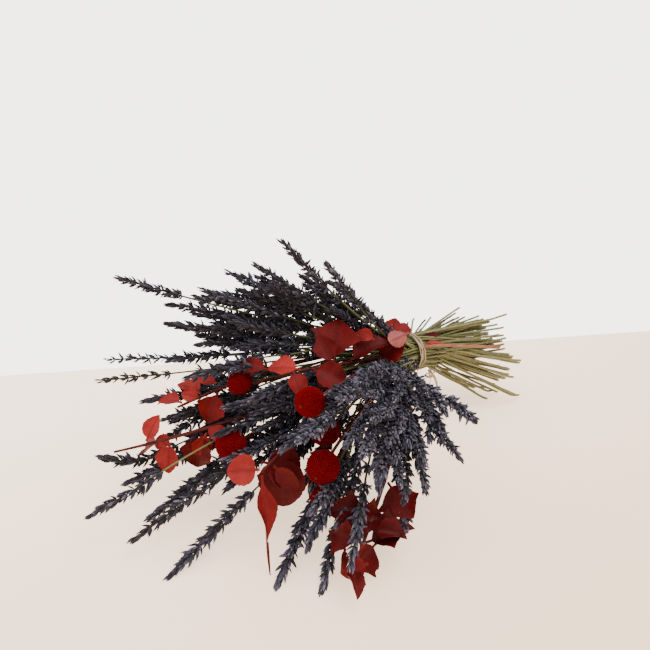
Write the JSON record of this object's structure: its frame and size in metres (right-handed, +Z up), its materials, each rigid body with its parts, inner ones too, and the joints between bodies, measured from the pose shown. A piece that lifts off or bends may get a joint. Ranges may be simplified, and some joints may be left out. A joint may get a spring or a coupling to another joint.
{
  "type": "bunch of dried flowers",
  "caption": "Spiral-tied bunch of dried lavender with red-dyed craspedia balls and red-dyed eucalyptus leaves, lying on its side with its cut stems fanned out behind the tie.",
  "frame": {"origin": "middle of the bunch's box, on the surface that it lies on", "axes": "+Y along the bunch from the flower heads to the cut stems, +Z up"},
  "size_m": [0.252, 0.4206, 0.1932],
  "materials": {
    "lavender": "dry, matt flower spikes",
    "dry_stem": "dry straw, slightly fibrous",
    "craspedia": "velvety dyed florets",
    "twig": "thin dyed bark",
    "leaf": "supple dyed leaf, paler beneath",
    "raffia": "dry fibre"
  },
  "bodies": {
    "root": {"lavender_01": "lavender", "lavender_02": "lavender", "lavender_03": "lavender", "lavender_04": "lavender", "lavender_05": "lavender", "lavender_06": "lavender", "lavender_07": "lavender", "lavender_08": "lavender", "lavender_09": "lavender", "lavender_10": "lavender", "lavender_11": "lavender", "lavender_12": "lavender", "lavender_13": "lavender", "lavender_14": "lavender", "lavender_15": "lavender", "lavender_16": "lavender", "lavender_17": "lavender", "lavender_18": "lavender", "lavender_19": "lavender", "lavender_20": "lavender", "lavender_21": "lavender", "lavender_22": "lavender", "lavender_23": "lavender", "lavender_24": "lavender", "craspedia_01": "craspedia", "craspedia_02": "craspedia", "craspedia_03": "craspedia", "craspedia_04": "craspedia", "craspedia_05": "craspedia", "craspedia_06": "craspedia", "eucalyptus_twig_01": "twig", "eucalyptus_twig_02": "twig", "eucalyptus_twig_03": "twig", "eucalyptus_twig_04": "twig", "eucalyptus_twig_05": "twig", "eucalyptus_leaf_01": "leaf", "eucalyptus_leaf_02": "leaf", "eucalyptus_leaf_03": "leaf", "eucalyptus_leaf_04": "leaf", "eucalyptus_leaf_05": "leaf", "eucalyptus_leaf_06": "leaf", "eucalyptus_leaf_07": "leaf", "eucalyptus_leaf_08": "leaf", "eucalyptus_leaf_09": "leaf", "eucalyptus_leaf_10": "leaf", "eucalyptus_leaf_11": "leaf", "eucalyptus_leaf_12": "leaf", "eucalyptus_leaf_13": "leaf", "eucalyptus_leaf_14": "leaf", "eucalyptus_leaf_15": "leaf", "eucalyptus_leaf_16": "leaf", "eucalyptus_leaf_17": "leaf", "eucalyptus_leaf_18": "leaf", "eucalyptus_leaf_19": "leaf", "eucalyptus_leaf_20": "leaf", "eucalyptus_leaf_21": "leaf", "eucalyptus_leaf_22": "leaf", "eucalyptus_leaf_23": "leaf", "raffia_band": "raffia", "raffia_knot": "raffia"}
  },
  "joints": []
}
